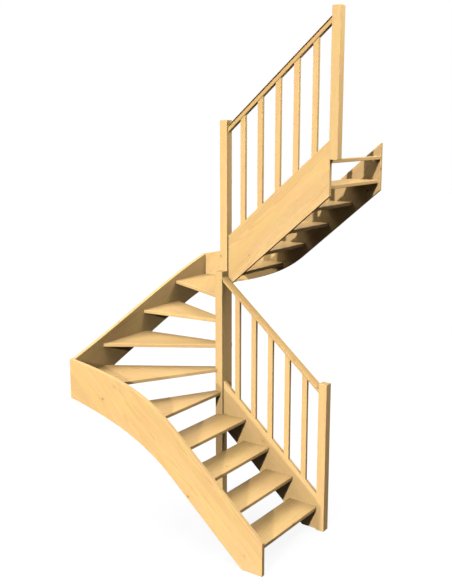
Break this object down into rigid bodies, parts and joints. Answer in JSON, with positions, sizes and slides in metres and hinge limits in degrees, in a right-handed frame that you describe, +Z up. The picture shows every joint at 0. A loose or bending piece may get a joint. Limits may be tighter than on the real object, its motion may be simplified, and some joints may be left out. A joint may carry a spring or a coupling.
{
  "type": "double quarter-turn staircase",
  "caption": "Open-riser timber staircase with two quarter turns of tapered treads, curved wall stringers, square newels and a balustrade on each flight.",
  "frame": {"origin": "centre of the start newel's foot, at lower floor level", "axes": "+Z up; +Y the way the lower flight climbs; +X across the turn, from the lower flight to the upper one, which climbs back along -Y"},
  "size_m": [1.764, 1.835, 3.855],
  "materials": {
    "stringer_pine": "satin lacquered pine boards, grain along the slope",
    "newel_pine": "satin lacquered pine, grain upright",
    "tread_pine": "satin lacquered pine boards glued edge to edge, grain along the nosing",
    "handrail_pine": "satin lacquered pine, grain along the rail",
    "baluster_pine": "satin lacquered pine, grain upright"
  },
  "bodies": {
    "root": {"wall_stringer_lower": "stringer_pine", "wall_stringer_back": "stringer_pine", "wall_stringer_upper": "stringer_pine", "inner_stringer_lower": "stringer_pine", "inner_stringer_upper": "stringer_pine", "newel_start": "newel_pine", "newel_turn_lower": "newel_pine", "newel_turn_upper": "newel_pine", "newel_top": "newel_pine", "tread_01": "tread_pine", "tread_02": "tread_pine", "tread_03": "tread_pine", "tread_04": "tread_pine", "tread_05": "tread_pine", "tread_06": "tread_pine", "tread_07": "tread_pine", "tread_08": "tread_pine", "tread_09": "tread_pine", "tread_10": "tread_pine", "tread_11": "tread_pine", "tread_12": "tread_pine", "tread_13": "tread_pine", "tread_14": "tread_pine", "landing_board": "tread_pine", "handrail_lower": "handrail_pine", "handrail_upper": "handrail_pine", "baluster_lower_1": "baluster_pine", "baluster_lower_2": "baluster_pine", "baluster_lower_3": "baluster_pine", "baluster_lower_4": "baluster_pine", "baluster_lower_5": "baluster_pine", "baluster_upper_1": "baluster_pine", "baluster_upper_2": "baluster_pine", "baluster_upper_3": "baluster_pine", "baluster_upper_4": "baluster_pine", "baluster_upper_5": "baluster_pine"}
  },
  "joints": []
}
